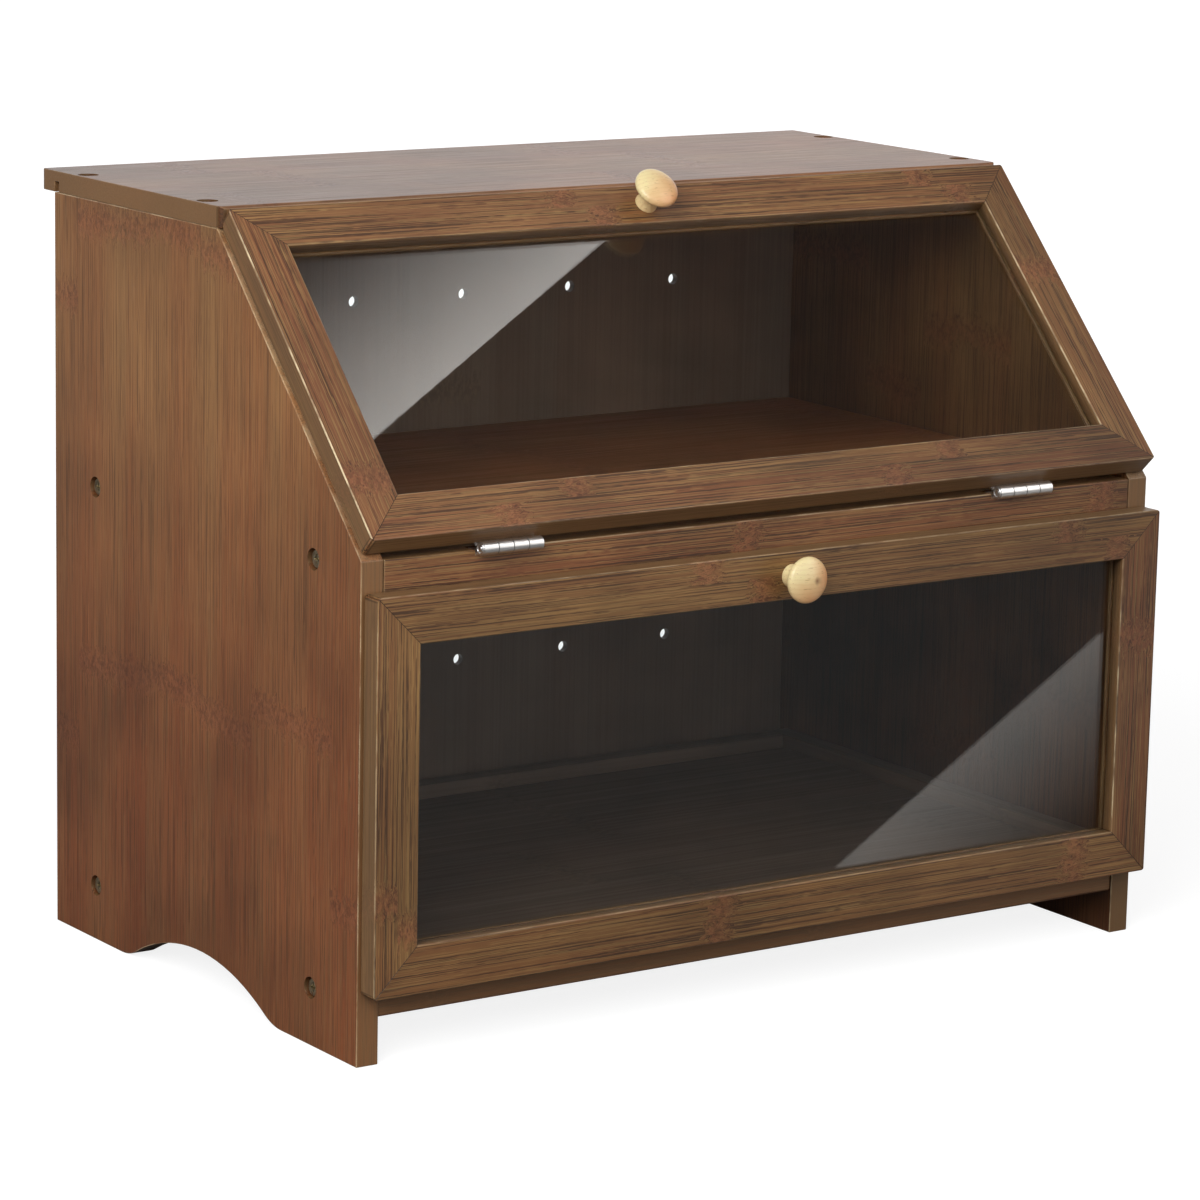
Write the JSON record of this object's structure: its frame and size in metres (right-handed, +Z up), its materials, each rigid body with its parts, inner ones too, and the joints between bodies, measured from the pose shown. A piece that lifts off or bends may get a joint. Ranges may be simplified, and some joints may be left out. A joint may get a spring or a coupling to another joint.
{
  "type": "bread box with drawer",
  "caption": "Wooden bread box with a slanted flap door with a clear pane over a pull-out drawer with a clear front, round knobs and arched side panels.",
  "frame": {"origin": "on the floor under the middle of the whole box, knobs included", "axes": "+X to the right seen from the front, +Y towards the back, +Z up; the door and the drawer face -Y"},
  "size_m": [0.4, 0.2894, 0.3379],
  "materials": {
    "stained_bamboo": "walnut-stained strip bamboo, satin lacquer",
    "dark_wood": "dark-stained panel, matte",
    "pale_wood": "turned pale wood, clear lacquer",
    "hinge_steel": "bright zinc-plated sheet steel",
    "screw_steel": "zinc-plated steel",
    "clear_acrylic": "clear polished acrylic sheet"
  },
  "bodies": {
    "box": {"side_panel_left": "stained_bamboo", "side_panel_right": "stained_bamboo", "top_board": "stained_bamboo", "bottom_board": "stained_bamboo", "middle_shelf": "stained_bamboo", "middle_rail": "stained_bamboo", "rail_dowels": "pale_wood", "back_panel": "dark_wood", "back_brads": "screw_steel", "side_screws_left": "screw_steel", "side_screws_right": "screw_steel", "top_screws": "screw_steel", "hinge_rail_leaf_left": "hinge_steel", "hinge_rail_leaf_right": "hinge_steel", "hinge_pin_left": "hinge_steel", "hinge_pin_right": "hinge_steel", "hinge_rail_screws": "screw_steel"},
    "door": {"door_rail_top": "stained_bamboo", "door_rail_bottom": "stained_bamboo", "door_stile_left": "stained_bamboo", "door_stile_right": "stained_bamboo", "door_pane": "clear_acrylic", "door_knob": "pale_wood", "door_knob_screw": "screw_steel", "hinge_door_leaf_left": "hinge_steel", "hinge_door_leaf_right": "hinge_steel", "hinge_door_screws": "screw_steel"},
    "drawer": {"drawer_rail_top": "stained_bamboo", "drawer_rail_bottom": "stained_bamboo", "drawer_stile_left": "stained_bamboo", "drawer_stile_right": "stained_bamboo", "drawer_pane": "clear_acrylic", "drawer_knob": "pale_wood", "drawer_knob_screw": "screw_steel", "tray_side_left": "dark_wood", "tray_side_right": "dark_wood", "tray_back": "dark_wood", "tray_front": "dark_wood", "tray_floor": "dark_wood", "tray_runner_left": "pale_wood", "tray_runner_right": "pale_wood", "tray_corner_screws": "screw_steel", "tray_front_screws": "screw_steel"}
  },
  "joints": [
    {"name": "door_hinge", "type": "hinge", "parent": "box", "child": "door", "pos_m": [0, -0.12245, 0.205], "axis": [1, 0, 0], "range_deg": [0, 140]},
    {"name": "drawer_slide", "type": "slide", "parent": "box", "child": "drawer", "axis": [0, -1, 0], "range_m": [0, 0.18]}
  ]
}
